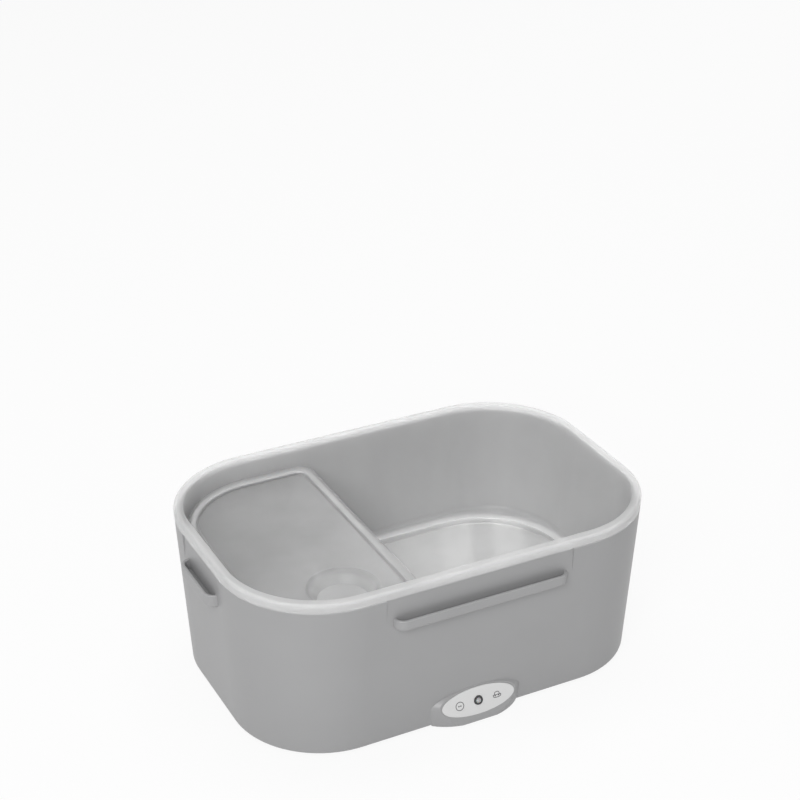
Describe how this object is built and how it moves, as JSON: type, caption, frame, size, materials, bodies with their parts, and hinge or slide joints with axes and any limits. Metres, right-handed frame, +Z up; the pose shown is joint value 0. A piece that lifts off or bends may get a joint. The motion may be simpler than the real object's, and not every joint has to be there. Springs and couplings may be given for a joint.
{
  "type": "electric lunch box",
  "caption": "Heated lunch box base with a steel heating pan, latch catches and rear sockets, a lift-out ridged food container and a lidded side tray.",
  "frame": {"origin": "on the floor under the middle of the housing", "axes": "+X to the right along the long side, +Y to the back where the sockets are, +Z up"},
  "size_m": [0.2344, 0.1604, 0.0896],
  "materials": {
    "housing_plastic": "fine satin moulded grey, brighter along the rim",
    "cover_plastic": "moulded, lightly textured",
    "plated_steel": "bright zinc plate",
    "foot_rubber": "matte",
    "stainless": "bright rolled sheet with soft streaks",
    "seal_silicone": "matte",
    "insulation_felt": "pressed white fibre",
    "aluminium_plate": "rolled",
    "fuse_body": "glazed",
    "socket_plastic": "moulded black",
    "nickel_plate": "bright nickel plate",
    "plate_plastic": "pale grey, satin printed face",
    "bezel_plastic": "dark ring",
    "led_lens": "diffused grey lens, unlit",
    "board_laminate": "green laminate",
    "lead_brown": "sleeved lead",
    "lead_red": "sleeved lead",
    "lead_grey": "sleeved lead",
    "clear_polypropylene": "milky translucent moulded plastic",
    "clear_lid": "clear moulded plastic, slightly milky",
    "lid_silicone": "translucent white silicone"
  },
  "bodies": {
    "housing": {"outer_housing": "housing_plastic", "bottom_cover": "cover_plastic", "cover_screws": "plated_steel", "rubber_feet": "foot_rubber", "heating_pan": "stainless", "pan_seal": "seal_silicone", "pan_screws": "plated_steel", "insulation_pad": "insulation_felt", "heat_spreader": "aluminium_plate", "mains_heater": "aluminium_plate", "car_heater": "aluminium_plate", "heater_clamp": "plated_steel", "clamp_screws": "plated_steel", "thermal_fuse": "fuse_body", "mains_inlet": "socket_plastic", "mains_pins": "nickel_plate", "car_inlet": "socket_plastic", "car_pin": "nickel_plate", "car_inlet_nut": "nickel_plate", "indicator_plate": "plate_plastic", "led_bezel": "bezel_plastic", "indicator_led": "led_lens", "led_board": "board_laminate", "mains_leads": "lead_brown", "car_leads": "lead_red", "led_leads": "lead_grey"},
    "container": {"food_container": "clear_polypropylene"},
    "tray": {"side_tray": "clear_polypropylene"},
    "lid": {"tray_lid": "clear_lid", "tray_lid_seal": "lid_silicone"}
  },
  "joints": [
    {"name": "container_lift", "type": "slide", "parent": "housing", "child": "container", "axis": [0, 0, 1], "range_m": [0, 0.114]},
    {"name": "tray_lift", "type": "slide", "parent": "container", "child": "tray", "axis": [0, 0, 1], "range_m": [0, 0.108]},
    {"name": "tray_lid_press", "type": "slide", "parent": "tray", "child": "lid", "axis": [0, 0, -1], "range_m": [-0.03, 0]}
  ]
}
